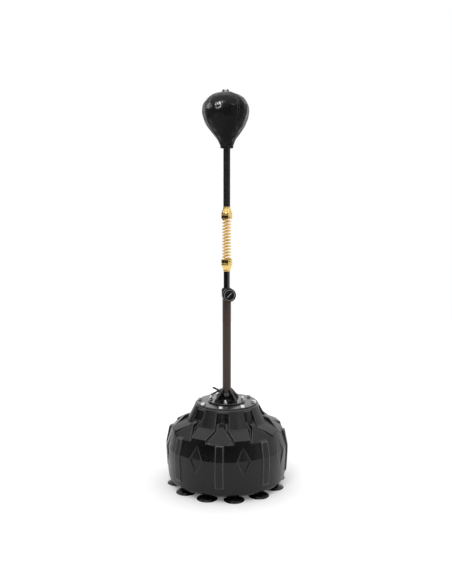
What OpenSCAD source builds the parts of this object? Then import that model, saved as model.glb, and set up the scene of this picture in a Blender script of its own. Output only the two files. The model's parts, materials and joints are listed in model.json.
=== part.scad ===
// Free-standing reflex ball stand: a fillable base on suction cups, a telescopic pole with a coil
// spring in it, and a small punching ball on top. Millimetres, +Z up, origin on the floor under the
// pole. The user stands on the -Y side, and angles count from there towards +X.

/* [Base] */
// Radius of the base at its widest crease
base_r = 245.5; // [235:0.5:255]
// Height of the seat that the flange lies on
seat_z = 330.5; // [320:0.5:340]
// Wall thickness of the moulded base
base_wall = 5; // [4:0.5:8]
// Number of armour sectors round the base
sectors = 8; // [8:1:8]
// Turn of the first sector from the user's side
sector_turn = -6.9; // [-20:0.1:20]

/* [Suction cups] */
// Number of suction cups
cup_count = 12; // [8:1:14]
// Turn of the first cup from the user's side
cup_turn = 8; // [-10:1:10]
// Radius of the circle that the cups stand on
cup_ring_r = 204; // [200:1:206]
// Radius of a cup's rim
cup_r = 41; // [34:1:44]

/* [Flange and socket] */
// Diameter of the outer flange plate
flange_d = 244; // [236:1:246]
// Thickness of the outer flange plate
flange_t = 5; // [4:0.5:6]
// Diameter of the socket's own plate
socket_plate_d = 153; // [150:1:160]
// Top of the socket above the floor
socket_top = 376; // [372:1:378]

/* [Pole] */
// Outer diameter of the lower tube
lower_d = 34.5; // [33:0.5:36]
// Bore of the lower tube
lower_bore = 30.5; // [30:0.5:31]
// Top of the lower tube
lower_top = 800; // [760:1:810]
// Outer diameter of the inner and upper tubes
inner_d = 25; // [25:0.1:25.4]
// Lower end of the inner tube
inner_foot = 440; // [420:1:480]
// Bottom of the lower spring collar
collar_z = 870; // [870:1:880]
// Lowest visible turn of the spring
spring_z0 = 918; // [918:1:919]
// Highest visible turn of the spring
spring_z1 = 1078; // [1077:1:1078]
// Outer diameter of the spring
spring_d = 36.5; // [35:0.1:36.6]
// Diameter of the spring wire
wire_d = 6; // [5:0.1:6.4]
// Number of turns in the spring
spring_turns = 14.5; // [12:0.5:15]

/* [Clamp knob] */
// Height of the clamp knob's axis
knob_z = 779; // [776:1:784]
// Diameter of the clamp knob
knob_d = 54; // [48:1:56]
// Turn of the clamp knob from the user's side
knob_turn = 11; // [-20:1:20]

/* [Ball] */
// Largest diameter of the ball
ball_d = 185; // [180:1:190]
// Height of the lower end of the ball's neck
neck_z = 1355; // [1350:1:1358]
// Height of the top of the ball's cover
ball_top = 1571; // [1570:1:1575]

/* [Hidden] */
cup_names = ["suction_cup_01", "suction_cup_02", "suction_cup_03", "suction_cup_04",
             "suction_cup_05", "suction_cup_06", "suction_cup_07", "suction_cup_08",
             "suction_cup_09", "suction_cup_10", "suction_cup_11", "suction_cup_12"];
gusset_names = ["gusset_front", "gusset_right", "gusset_rear", "gusset_left"];

$fn = 96;
sector_step = 360 / sectors;
panel_turn = sector_turn + sector_step / 2;
slack = 0.05;                       // radial clearance of a running fit
gap = 0.3;                          // clearance between neighbours that must not touch

// Base: heights and radii that its surfaces share
cone_r = 128;                       // top of the cone, at the seat
break_z = 265;                      // crease between a panel's steep and flat facets
break_r = 163;
panel_z = 240;                      // lower edge of a panel
panel_r = 224;
crease_z = 164;                     // crease round the belly
belly_z = 136;
foot_z = 22;                        // underside of the base
foot_r = 226;
rib_h = 5.5;                        // how far a rib stands proud
rib_w = 33;
rib_foot = 57;
cup_boss_r = 14;                    // boss that holds a cup's stem
cup_stem_r = 8;
insert_boss_r = 11;                 // boss round a threaded insert
insert_boss_z = 292;
port_foot = 236;
diamond_floor_r = 237;
mouth_r = 80;                       // opening under the flange
floor_dome_r = 160;                 // raised middle of the underside
floor_dome_z = 42;
port_r = 190;                       // fill port, on the rear right shoulder
port_turn = panel_turn + 3 * sector_step;
port_top = 278;
port_bore_r = 15;
port_out_r = 21.5;
cap_r = 25.5;
cap_top = 285;
cap_foot = 268;

// Stack of plates on the seat
gasket_t = 1.5;
flange_z = seat_z + gasket_t;
socket_z = flange_z + flange_t;
socket_plate_t = 6;
socket_foot = socket_z + socket_plate_t;
socket_r = 21.2;
bolt_turn = -12;
flange_bolt_r = 112;
flange_bore_r = 12;
flange_hole_r = 5.25;               // hole of a flange bolt
insert_h = 24;
insert_r = 7.5;
socket_hole_r = 4.25;               // hole of a socket bolt
socket_thread_r = 4;
socket_bolt_r = 65;
socket_bolt_turn = -5;
washer_t = 1.6;
gusset_turn = 40;
gusset_foot_r = 62;
gusset_top = 388;
gusset_t = 7;
tube_side = lower_d / 2 + gap;      // where a gusset stands beside the tube
wing_z = 380;
wing_thread_r = 4;
wing_boss_end = 29;
wing_rest = 70;                     // turn of the wings about the bolt, at rest
wing_pad_side = 5;                  // radius of the wing bolt's pad
wing_pad_r = lower_d / 2 + 3.2;     // face between the wing bolt's tip and its pad

// Pole
clamp_z0 = 766;
clamp_d = 41;
clamp_thread_r = 5;                 // knob's screw
clamp_pad_r = 6;
clamp_hole_r = 6.3;                 // hole that the knob's pad slides in
bushing_foot = 742;
stud_start = inner_d / 2 + 5;       // face between the knob's screw and its pad
stud_len = 32;
knob_back = 39;                     // knob's back, middle rim and front, out from the pole's axis
knob_rim = 55;
knob_face = 58;
knob_hub_start = 33;
face_step_r = knob_d / 2 - 5;       // edge of the recess in the knob's face
face_ring_r = knob_d / 2 - 13;      // inner edge of the ring in that recess
face_z = 53;
face_floor = 51;
collar_r = 22;
collar_h = 48;                      // height of a spring collar
collar_stop = 33;                   // depth that a tube goes into its collar
collar_neck_r = 13.6;               // narrow end of a collar, round the tube
grub_z = 41;                        // height of the grub screws in a collar
grub_r = 3;
pocket_r = spring_d / 2 + 0.6;
pocket_depth = 13;
upper_collar_top = 1126;
upper_tube_top = 1378;
sleeve_top = 1362;
sleeve_r = 13.7;
neck_bore_r = 17.5;
neck_d = 44;                        // outside of the ring that closes the ball's neck
spigot_h = 36;
pin_drop = 18;                      // spigot's pin below the tube's end
cover_t = 2.6;                      // leather of the ball's cover
bladder_foot = 1404;
bladder_depth = 3.6;                 // bladder's outside under the ball's outside
bladder_crown = 4.5;                 // the same on the axis, under the crown
bladder_t = 1.8;
valve_r = 4;

// Points of the helix's centre line, left-handed as seen from the side
function helix(r, z0, z1, turns, steps) =
    [for (i = [0:steps]) let (a = -360 * turns * i / steps)
        [r * cos(a), r * sin(a), z0 + (z1 - z0) * i / steps]];

// A solid of revolution's slice, laid along -Y: points are [radius, height]
module slab(points, width) {
    rotate([90, 0, -90]) linear_extrude(height = width, center = true) polygon(points);
}

// Copies its children round the axis
module ring_of(count, first = 0) {
    for (i = [0:count - 1]) rotate([0, 0, first + i * 360 / count]) children();
}

// Moves its children out along -Y, then turns them about the pole
module at(turn, r, z) {
    rotate([0, 0, turn]) translate([0, -r, z]) children();
}

module washer(r_out, r_in, t) {
    difference() {
        cylinder(r = r_out, h = t);
        translate([0, 0, -1]) cylinder(r = r_in, h = t + 2);
    }
}

module tube(d_out, d_in, z0, z1) {
    translate([0, 0, z0]) washer(d_out / 2, d_in / 2, z1 - z0);
}

// Hexagon screw: its head's underside is at height 0, its shank hangs down
module hex_screw(flats, head_h, shank_r, shank_len) {
    difference() {
        cylinder(r = flats / sqrt(3), h = head_h, $fn = 6);
        translate([0, 0, head_h - 1.2]) difference() {
            cylinder(r = flats, h = 3);
            translate([0, 0, -0.01]) cylinder(r1 = flats / 2 + 1.2, r2 = flats / 2 - 1.8, h = 3);
        }
    }
    translate([0, 0, -shank_len]) cylinder(r = shank_r, h = shank_len);
}

// ---- Base ----

// Outside of the base without its raised armour
module base_core() {
    rotate_extrude() polygon([
        [0, seat_z], [cone_r, seat_z], [cone_r + 5.3, seat_z - 10], [cone_r, seat_z - 10],
        [141, 282], [break_r, 254], [219, 231], [228, 229], [base_r - 10, 221],
        [base_r, crease_z], [base_r, belly_z], [base_r - 2.5, 90], [base_r - 5.5, 50],
        [base_r - 8, 30], [base_r - 13, foot_z + 1], [foot_r, foot_z],
        [floor_dome_r, foot_z], [floor_dome_r - 8, floor_dome_z], [0, floor_dome_z]]);
}

// Steep cone and flat shoulder that the panels are cut from
module panel_skin() {
    rotate_extrude() polygon([
        [90, seat_z], [cone_r, seat_z], [break_r, break_z], [panel_r + 2, panel_z],
        [base_r - 11, 225], [base_r - 12, 216], [150, 216], [90, 300]]);
}

// Outline of one armour panel seen from above
module panel_outline() {
    polygon([[-33, -100], [-29, -cone_r], [-40, -break_r], [-31, -panel_r], [-34, -base_r],
             [34, -base_r], [31, -panel_r], [40, -break_r], [29, -cone_r], [33, -100]]);
}

// Fan-shaped block between two panels, with the tab that runs down into the rib
module fan() {
    intersection() {
        slab([[145, 284], [172, 274], [221, 229], [228, 218], [150, 218]], 104);
        linear_extrude(height = seat_z)
            polygon([[-8, -140], [-8, -172], [-50, -221], [-50, -235],
                     [50, -235], [50, -221], [8, -172], [8, -140]]);
    }
    slab([[200, 248], [221, 229], [230, 221], [base_r - 9, 216], [200, 216]], 30);
}

module rib() {
    slab([[225, 224], [base_r - 6, 221], [base_r + rib_h, crease_z],
          [base_r + rib_h, belly_z], [base_r + 3, 90], [base_r + 0.5, rib_foot],
          [base_r - 8, rib_foot - 6], [225, rib_foot - 6]], rib_w);
}

// Flat-floored diamond pressed into the crease between two ribs
module diamond() {
    translate([0, -diamond_floor_r, crease_z - 2]) rotate([90, 0, 0])
        linear_extrude(height = 30) polygon([[-28, 0], [0, -56], [28, 0], [0, 56]]);
}

// Room inside the base for water or sand
module base_cavity() {
    w = base_wall;
    rotate_extrude() polygon([
        [0, seat_z - 8], [cone_r - 16, seat_z - 8], [122, 300], [137, 274],
        [break_r, 254 - w - 2], [214, 231 - w], [229, 221 - w], [base_r - w - 5, 190],
        [base_r - w - 1, crease_z], [base_r - w - 5, 90], [base_r - w - 8, 50],
        [base_r - w - 12, foot_z + w + 1], [floor_dome_r - w + 8, foot_z + w + 1],
        [floor_dome_r - w - 4, floor_dome_z + w], [0, floor_dome_z + w]]);
}

module base_shell() {
    color("#1b1b1d") difference() {
        union() {
            difference() {
                union() {
                    base_core();
                    intersection() {
                        panel_skin();
                        ring_of(sectors, panel_turn) linear_extrude(height = seat_z)
                            panel_outline();
                    }
                    ring_of(sectors, sector_turn) fan();
                    ring_of(sectors, sector_turn) rib();
                }
                ring_of(sectors, panel_turn) diamond();
                base_cavity();
            }
            ring_of(cup_count, cup_turn) translate([0, -cup_ring_r, foot_z])
                cylinder(r = cup_boss_r, h = 20);
            ring_of(8, bolt_turn) translate([0, -flange_bolt_r, insert_boss_z])
                cylinder(r = insert_boss_r, h = seat_z - insert_boss_z);
            at(port_turn, port_r, port_foot) cylinder(r = port_out_r, h = port_top - port_foot);
        }
        translate([0, 0, seat_z - 20]) cylinder(r = mouth_r, h = 30);
        ring_of(cup_count, cup_turn) translate([0, -cup_ring_r, foot_z - 1])
            cylinder(r = cup_stem_r, h = 16);
        ring_of(8, bolt_turn) translate([0, -flange_bolt_r, seat_z - 25])
            cylinder(r = insert_r, h = 30);
        at(port_turn, port_r, 200) cylinder(r = port_bore_r, h = 100);
    }
}

module fill_cap() {
    color("#161617") at(port_turn, port_r, 0) difference() {
        union() {
            translate([0, 0, cap_foot]) cylinder(r = cap_r, h = cap_top - 3 - cap_foot);
            translate([0, 0, cap_top - 3]) cylinder(r1 = cap_r, r2 = cap_r - 2, h = 3);
        }
        translate([0, 0, cap_foot - 1])
            cylinder(r = port_out_r + slack, h = port_top + gasket_t - cap_foot + 1);
        ring_of(24) translate([0, -cap_r - 1, cap_foot - 1]) cylinder(r = 2, h = 30, $fn = 24);
        translate([0, 0, cap_top - 2.4]) difference() {
            cylinder(r = 17, h = 4);
            translate([0, 0, -1]) linear_extrude(height = 6) square([40, 8], center = true);
        }
    }
}

module cap_gasket() {
    color("#2a2a2a") at(port_turn, port_r, port_top) washer(port_out_r - 0.5, 16, gasket_t);
}

// ---- Suction cups ----

module suction_cup(i) {
    color("#111112") at(cup_turn + i * 360 / cup_count, cup_ring_r, 0) rotate_extrude() polygon([
        [cup_r - 4, 0], [cup_r, 0], [cup_r, 1.8], [cup_r - 4, 5], [cup_r - 13, 10],
        [18, 15.5], [12, 18.5], [11.5, foot_z], [cup_stem_r - 0.2, foot_z],
        [cup_stem_r - 0.2, foot_z + 14],
        [0, foot_z + 14], [0, 12], [10, 11], [24, 7], [cup_r - 8, 2.2]]);
}

// ---- Flange ----

module flange_gasket() {
    color("#303032") difference() {
        translate([0, 0, seat_z]) washer(flange_d / 2 - 1, mouth_r + 4, gasket_t);
        ring_of(8, bolt_turn) translate([0, -flange_bolt_r, 0]) cylinder(r = 5.5, h = 400);
    }
}

module flange_plate() {
    color("#3a3b3e") difference() {
        union() {
            translate([0, 0, flange_z]) cylinder(r = flange_d / 2, h = flange_t - 1);
            translate([0, 0, flange_z + flange_t - 1])
                cylinder(r1 = flange_d / 2, r2 = flange_d / 2 - 1, h = 1);
        }
        translate([0, 0, flange_z - 1]) cylinder(r = flange_bore_r, h = 20);
        ring_of(8, bolt_turn) translate([0, -flange_bolt_r, 0]) cylinder(r = flange_hole_r, h = 400);
        ring_of(4, socket_bolt_turn) translate([0, -socket_bolt_r, 0]) cylinder(r = socket_hole_r, h = 400);
    }
}

module flange_inserts() {
    color("goldenrod") ring_of(8, bolt_turn)
        translate([0, -flange_bolt_r, seat_z - insert_h]) washer(insert_r, 5, insert_h);
}

module flange_washers() {
    color("silver") ring_of(8, bolt_turn)
        translate([0, -flange_bolt_r, flange_z + flange_t]) washer(10, flange_hole_r, washer_t);
}

module flange_bolts() {
    color("silver") ring_of(8, bolt_turn)
        translate([0, -flange_bolt_r, flange_z + flange_t + washer_t]) hex_screw(16, 6.4, 4.95, 28);
}

// ---- Socket ----

module socket_plate() {
    color("#1c1c1e") difference() {
        union() {
            translate([0, 0, socket_z]) cylinder(r = socket_plate_d / 2, h = socket_plate_t - 1);
            translate([0, 0, socket_foot - 1])
                cylinder(r1 = socket_plate_d / 2, r2 = socket_plate_d / 2 - 1, h = 1);
        }
        translate([0, 0, socket_z - 1]) cylinder(r = flange_bore_r, h = 20);
        ring_of(4, socket_bolt_turn) translate([0, -socket_bolt_r, 0]) cylinder(r = socket_hole_r, h = 400);
    }
}

module socket_tube() {
    color("#1c1c1e") difference() {
        tube(2 * socket_r, lower_d + 0.1, socket_foot, socket_top);
        wing_axis() cylinder(r = wing_pad_side + slack, h = 60);
    }
}

// Fin that stands on the plate, grips the socket and rises past its rim beside the tube
module gusset(i) {
    color("#1c1c1e") rotate([0, 0, gusset_turn + i * 90]) difference() {
        slab([[socket_r - 1, socket_foot], [gusset_foot_r, socket_foot],
              [gusset_foot_r, socket_foot + 6], [25, gusset_top], [tube_side, gusset_top],
              [tube_side, socket_top], [socket_r - 1, socket_top]], gusset_t);
        translate([0, 0, socket_foot - 1])
            cylinder(r = socket_r, h = socket_top - socket_foot + 1);
    }
}

// Their heads are under the flange plate, and their threads stand out of the nuts on top
module socket_bolts() {
    color("silver") ring_of(4, socket_bolt_turn) translate([0, -socket_bolt_r, flange_z])
        mirror([0, 0, 1]) hex_screw(13, 5.3, socket_thread_r, 26);
}

module socket_washers() {
    color("silver") ring_of(4, socket_bolt_turn)
        translate([0, -socket_bolt_r, socket_foot]) washer(8.5, socket_hole_r, washer_t);
}

module socket_nuts() {
    color("silver") ring_of(4, socket_bolt_turn)
        translate([0, -socket_bolt_r, socket_foot + washer_t]) difference() {
            cylinder(r = 13 / sqrt(3), h = 6.5, $fn = 6);
            translate([0, 0, -1]) cylinder(r = socket_thread_r + 0.02, h = 10);
        }
}

// Turns its children so that their height runs out along the wing bolt, to the left
module wing_axis() {
    rotate([0, 0, -90]) translate([0, 0, wing_z]) rotate([90, 0, 0]) children();
}

// Threaded block on the socket's rim
module wing_boss() {
    color("#1c1c1e") difference() {
        wing_axis() cylinder(r = 9, h = wing_boss_end);
        wing_axis() cylinder(r = wing_thread_r + slack, h = 60);
        wing_axis() cylinder(r = wing_pad_side + slack, h = 24);
        translate([0, 0, socket_foot]) cylinder(r = tube_side, h = 80);
        translate([0, 0, socket_foot]) cylinder(r = socket_r, h = socket_top - socket_foot + 0.1);
    }
}

// Screw with two forged wings; it bears on the pad that grips the lower tube
module wing_bolt() {
    color("#141415") wing_axis() rotate([0, 0, wing_rest]) {
        translate([0, 0, wing_pad_r]) cylinder(r = wing_thread_r, h = 20);
        translate([0, 0, wing_boss_end + 2]) cylinder(r1 = 7.5, r2 = 6, h = 10);
        for (side = [0, 180]) rotate([0, 0, side]) rotate([90, 0, 0])
            linear_extrude(height = 4.5, center = true) union() {
                polygon([[3, 33], [7, 34], [13, 44], [17, 52], [10, 55], [6, 47], [3, 41]]);
                translate([13.5, 53.5]) circle(r = 4.5);
            }
    }
}

module wing_pad() {
    color("goldenrod") wing_axis() difference() {
        cylinder(r = wing_pad_side, h = wing_pad_r);
        rotate([90, 0, 0]) cylinder(r = lower_d / 2 + 0.02, h = 60, center = true);
        translate([0, 0, -60]) cylinder(r = 40, h = 60);
    }
}

// ---- Lower tube and its clamp ----

module lower_tube() {
    color("#3a2c28") difference() {
        tube(lower_d, lower_bore, socket_foot, lower_top);
        at(knob_turn, 0, knob_z) rotate([90, 0, 0]) cylinder(r = clamp_hole_r, h = 60);
    }
}

module tube_bushing() {
    color("#1a1a1a") difference() {
        union() {
            tube(lower_bore - 0.02, inner_d + 2 * slack, bushing_foot, lower_top);
            tube(lower_d, inner_d + 2 * slack, lower_top, lower_top + 2);
        }
        at(knob_turn, 0, knob_z) rotate([90, 0, 0]) cylinder(r = clamp_hole_r, h = 60);
    }
}

module clamp_collar() {
    color("#1d1d1f") difference() {
        union() {
            tube(clamp_d, lower_d + 0.04, clamp_z0, lower_top - 1.5);
            tube(clamp_d - 1.5, lower_d + 0.04, lower_top - 1.5, lower_top);
        }
        at(knob_turn, 0, knob_z) rotate([90, 0, 0]) cylinder(r = clamp_hole_r, h = 60);
    }
}

module clamp_boss() {
    color("#1d1d1f") at(knob_turn, 0, knob_z) rotate([90, 0, 0]) difference() {
        translate([0, 0, 19]) cylinder(r = 10, h = 11);
        cylinder(r = clamp_thread_r + slack, h = 60);
        cylinder(r = clamp_hole_r, h = 22);
        rotate([90, 0, 0]) cylinder(r = clamp_d / 2 + 0.02, h = 60, center = true);
    }
}

module pressure_pad() {
    color("#3a3a3a") at(knob_turn, 0, knob_z) rotate([90, 0, 0]) difference() {
        cylinder(r = clamp_pad_r, h = stud_start);
        rotate([90, 0, 0]) cylinder(r = inner_d / 2 + 0.02, h = 60, center = true);
        translate([0, 0, -60]) cylinder(r = 40, h = 60);
    }
}

module knob_stud() {
    color("silver") at(knob_turn, stud_start, knob_z) rotate([90, 0, 0])
        cylinder(r = clamp_thread_r, h = stud_len);
}

// Round hand knob with shallow finger scallops and a recessed face
module knob_body() {
    color("#161617") at(knob_turn, 0, knob_z) rotate([90, 0, 0]) difference() {
        union() {
            translate([0, 0, knob_hub_start]) cylinder(r = 12, h = knob_back + 1 - knob_hub_start);
            translate([0, 0, knob_back]) cylinder(r1 = knob_d / 2 - 2, r2 = knob_d / 2, h = 2);
            translate([0, 0, knob_back + 2]) cylinder(r = knob_d / 2, h = knob_rim - knob_back - 2);
            translate([0, 0, knob_rim])
                cylinder(r1 = knob_d / 2, r2 = knob_d / 2 - 3, h = knob_face - knob_rim);
        }
        cylinder(r = clamp_thread_r, h = stud_start + stud_len);
        translate([0, 0, face_z]) washer(face_step_r, face_ring_r, 10);
        translate([0, 0, face_floor]) cylinder(r = face_ring_r, h = 10);
        ring_of(16) translate([0, -knob_d / 2 - 2.2, knob_back - 1]) cylinder(r = 3.4, h = 30, $fn = 32);
    }
}

module knob_ring() {
    color("#8d8f93") at(knob_turn, 0, knob_z) rotate([90, 0, 0])
        translate([0, 0, face_z]) washer(face_step_r - 0.2, face_ring_r, 2.6);
}

module knob_bridge() {
    color("#9b9da1") at(knob_turn, 0, knob_z) rotate([90, 0, 0]) intersection() {
        translate([0, 0, face_floor]) cylinder(r = face_ring_r - 0.2, h = 5);
        rotate([0, 0, 45]) translate([0, 0, face_z]) cube([60, 8, 12], center = true);
    }
}

// ---- Inner tube and the spring ----

module inner_tube() {
    color("#0f0f10") tube(inner_d, inner_d - 3, inner_foot, collar_z + collar_stop);
}

module guide_plug() {
    color("#2b2b2b") difference() {
        union() {
            tube(lower_bore - 2 * slack, 8, inner_foot - 24, inner_foot);
            translate([0, 0, inner_foot]) cylinder(r = inner_d / 2 - 1.52, h = 18);
        }
        translate([0, 0, inner_foot - 30]) cylinder(r = 4, h = 60);
    }
}

// Turned collar: a wide cup for the spring, tapered down to the tube, seen with its cup upwards
module collar_form() {
    difference() {
        rotate_extrude() polygon([
            [0, 0], [collar_neck_r, 0], [collar_neck_r + 0.8, 3], [collar_neck_r + 0.8, 6],
            [collar_r - 1.2, 23], [collar_r, 25], [collar_r, 29], [collar_r - 0.8, 30],
            [collar_r - 0.8, 32], [collar_r, 33], [collar_r, collar_h - 1],
            [collar_r - 1, collar_h], [0, collar_h]]);
        translate([0, 0, -1]) cylinder(r = inner_d / 2 + 0.02, h = collar_stop + 1);
        translate([0, 0, collar_h - pocket_depth]) cylinder(r = pocket_r, h = 30);
        ring_of(3, 30) translate([0, 0, grub_z]) rotate([90, 0, 0]) cylinder(r = grub_r, h = 40);
    }
}

module grub_screws_form() {
    ring_of(3, 30) translate([0, 0, grub_z]) rotate([90, 0, 0])
        difference() {
            translate([0, 0, pocket_r + gap])
                cylinder(r = grub_r - 0.02, h = collar_r - pocket_r - 0.8);
            translate([0, 0, collar_r - 2]) cylinder(r = 1.6, h = 5, $fn = 6);
        }
}

module lower_collar() {
    color("goldenrod") translate([0, 0, collar_z]) collar_form();
}

module lower_grub_screws() {
    color("#222222") translate([0, 0, collar_z]) grub_screws_form();
}

module upper_collar() {
    color("goldenrod") translate([0, 0, upper_collar_top]) mirror([0, 0, 1]) collar_form();
}

module upper_grub_screws() {
    color("#222222") translate([0, 0, upper_collar_top]) mirror([0, 0, 1]) grub_screws_form();
}

// Left-handed coil, swept from rings of points round its centre line
module spring() {
    sides = 8;
    steps = 20 * spring_turns;
    wire_r = wire_d / 2;
    z0 = spring_z0 - pocket_depth + wire_r + 1;
    z1 = spring_z1 + pocket_depth - wire_r - 1;
    line = helix(spring_d / 2 - wire_r, z0, z1, spring_turns, steps);
    rings = [for (i = [0:steps]) let (p = line[i], a = -360 * spring_turns * i / steps)
        for (k = [0:sides - 1]) let (b = 360 * k / sides, out = wire_r * cos(b))
            [p[0] + out * cos(a), p[1] + out * sin(a), p[2] + wire_r * sin(b)]];
    walls = [for (i = [0:steps - 1], k = [0:sides - 1]) let (n = (k + 1) % sides)
        each [[i * sides + k, i * sides + n, (i + 1) * sides + n],
              [i * sides + k, (i + 1) * sides + n, (i + 1) * sides + k]]];
    ends = [[for (k = [sides - 1:-1:0]) k], [for (k = [0:sides - 1]) steps * sides + k]];
    color("gold") polyhedron(points = rings, faces = concat(walls, ends));
}

// ---- Upper pole ----

module upper_tube() {
    color("#0f0f10") tube(inner_d, inner_d - 3, upper_collar_top - collar_stop, upper_tube_top);
}

module pole_sleeve() {
    color("#3a3a3c") tube(2 * sleeve_r, inner_d + 0.04, upper_collar_top, sleeve_top);
}

// Plug in the tube's end with a plate that the ball's neck is tied over
module ball_spigot() {
    color("silver") difference() {
        union() {
            translate([0, 0, upper_tube_top - spigot_h])
                cylinder(r = inner_d / 2 - 1.52, h = spigot_h);
            translate([0, 0, upper_tube_top]) cylinder(r = 15, h = 5);
            translate([0, 0, upper_tube_top + 5]) cylinder(r = 5, h = 14);
        }
        translate([0, 0, upper_tube_top - pin_drop]) rotate([90, 0, 0])
            cylinder(r = 2.5, h = 60, center = true);
    }
}

module spigot_pin() {
    color("silver") translate([0, 0, upper_tube_top - pin_drop]) rotate([90, 0, 0])
        cylinder(r = 2.48, h = inner_d - 4, center = true);
}

module neck_ferrule() {
    color("#1a1a1a") rotate_extrude() polygon([
        [sleeve_r + slack, neck_z - 2], [neck_d / 2, neck_z - 2], [neck_d / 2, neck_z + 0.9],
        [neck_bore_r - 0.2, neck_z + 0.9], [neck_bore_r - 0.2, neck_z + 6],
        [sleeve_r + slack, neck_z + 6]]);
}

// ---- Ball ----

// Outline of the ball at radius offset inwards by t
function ball_outline(t) = [
    [24.5 - t, neck_z + 1], [24 - t, neck_z + 4], [26 - t, neck_z + 11], [33 - t, neck_z + 26],
    [43 - t, neck_z + 42], [56 - t, neck_z + 57], [69 - t, neck_z + 73], [77.5 - t, neck_z + 89],
    [84.5 - t, neck_z + 104], [89.3 - t, neck_z + 120], [ball_d / 2 - 0.6 - t, neck_z + 134],
    [ball_d / 2 - t, neck_z + 147], [90 - t, neck_z + 160], [82 - t, neck_z + 174],
    [70 - t, neck_z + 190 - t * 0.5], [51 - t, neck_z + 205 - t * 0.8],
    [33 - t, ball_top - 3 - t * 0.9], [16, ball_top - t]];

module ball_cover() {
    color("#101011") difference() {
        rotate_extrude() polygon(concat([[0, neck_z + 1]], ball_outline(0), [[0, ball_top]]));
        rotate_extrude() polygon(concat(
            [[0, upper_tube_top - 12]], [for (p = ball_outline(cover_t))
                if (p[1] > upper_tube_top + 6) p],
            [[0, ball_top - cover_t]]));
        translate([0, 0, neck_z - 5]) cylinder(r = neck_bore_r, h = 40);
        translate([0, 0, ball_top - 20]) cylinder(r = valve_r, h = 40);
    }
}

// Half outline of the bladder, at a depth under the ball's outside
function bladder_outline(depth, foot, top) = concat(
    [[0, foot]],
    [for (p = ball_outline(depth)) if (p[1] > foot) p],
    [[0, top]]);

module ball_bladder() {
    color("#5a2a20") difference() {
        rotate_extrude() polygon(bladder_outline(bladder_depth, bladder_foot, ball_top - bladder_crown));
        rotate_extrude() polygon(bladder_outline(
            bladder_depth + bladder_t, bladder_foot + 3, ball_top - bladder_crown - 2.5));
        translate([0, 0, ball_top - 20]) cylinder(r = valve_r, h = 40);
    }
}

module ball_valve() {
    color("#2a2a2a") difference() {
        union() {
            translate([0, 0, ball_top - 22]) cylinder(r = valve_r - 0.1, h = 21);
            translate([0, 0, ball_top - 22]) cylinder(r = 7, h = 3);
        }
        translate([0, 0, ball_top - 30]) cylinder(r = 0.8, h = 60, $fn = 24);
    }
}

// Knotted lace over the valve: two lugs and a cross bar
module ball_lace() {
    color("#0c0c0d") union() {
        translate([0, 0, ball_top]) cylinder(r = 5, h = 4);
        for (side = [-1, 1]) hull() {
            translate([side * 4, 0, ball_top + 4.2]) sphere(r = 4, $fn = 24);
            translate([side * 11, 0, ball_top + 3.6]) sphere(r = 3.4, $fn = 24);
        }
    }
}

base_shell();
fill_cap();
cap_gasket();
for (i = [0:cup_count - 1]) suction_cup(i);
flange_gasket();
flange_plate();
flange_bolts();
flange_washers();
flange_inserts();
socket_plate();
socket_tube();
for (i = [0:3]) gusset(i);
socket_bolts();
socket_washers();
socket_nuts();
wing_boss();
wing_bolt();
wing_pad();
lower_tube();
tube_bushing();
clamp_collar();
clamp_boss();
knob_stud();
knob_body();
knob_ring();
knob_bridge();
pressure_pad();
inner_tube();
guide_plug();
lower_collar();
lower_grub_screws();
spring();
upper_collar();
upper_grub_screws();
upper_tube();
pole_sleeve();
ball_spigot();
spigot_pin();
neck_ferrule();
ball_cover();
ball_bladder();
ball_valve();
ball_lace();
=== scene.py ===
"""Reflex ball stand: the visual model and its studio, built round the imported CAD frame."""
import json
import math

import bmesh
import bpy
import numpy as np
from mathutils import Matrix, Vector

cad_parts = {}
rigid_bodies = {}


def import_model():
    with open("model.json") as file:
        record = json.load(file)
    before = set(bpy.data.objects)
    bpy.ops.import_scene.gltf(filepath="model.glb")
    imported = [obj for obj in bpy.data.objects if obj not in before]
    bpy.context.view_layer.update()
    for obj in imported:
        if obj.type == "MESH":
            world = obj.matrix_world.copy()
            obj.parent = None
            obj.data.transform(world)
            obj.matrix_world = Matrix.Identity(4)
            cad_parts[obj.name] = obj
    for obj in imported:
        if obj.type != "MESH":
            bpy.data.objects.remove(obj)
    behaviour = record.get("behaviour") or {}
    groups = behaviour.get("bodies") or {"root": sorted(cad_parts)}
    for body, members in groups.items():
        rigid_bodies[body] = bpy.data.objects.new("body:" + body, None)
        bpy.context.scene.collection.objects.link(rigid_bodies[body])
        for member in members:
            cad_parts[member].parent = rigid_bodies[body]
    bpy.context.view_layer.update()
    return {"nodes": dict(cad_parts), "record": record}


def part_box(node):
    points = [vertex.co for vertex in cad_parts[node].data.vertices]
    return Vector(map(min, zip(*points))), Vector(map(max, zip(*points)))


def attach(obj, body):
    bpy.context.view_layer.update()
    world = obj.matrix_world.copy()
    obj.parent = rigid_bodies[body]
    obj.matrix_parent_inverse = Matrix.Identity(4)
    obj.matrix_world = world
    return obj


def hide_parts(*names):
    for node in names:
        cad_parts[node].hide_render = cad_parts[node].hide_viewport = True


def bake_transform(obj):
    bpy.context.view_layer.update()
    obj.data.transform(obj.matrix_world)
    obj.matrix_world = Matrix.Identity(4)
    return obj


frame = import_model()
scene = bpy.context.scene
nodes = frame["nodes"]
body_of = {node: body for body, members in frame["record"]["behaviour"]["bodies"].items() for node in members}
slot_of = {part["node"]: part["material_slot"] for part in frame["record"]["subparts"]}
MM = 0.001
KNOB_TURN, KNOB_Z = 11.0, 779.0
WING_REST, WING_Z = 70.0, 380.0
PORT_TURN = 150.6
NECK_Z, BALL_TOP, TIE_RISE = 1355.0, 1571.0, 8.0
SEAM_FIRST, PANELS = 32.5, 4
FLANGE_CIRCLE, SOCKET_CIRCLE = (8, -12, 112), (4, -5, 65)  # count, first angle and radius of the bolts


# ---- Materials ----

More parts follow.
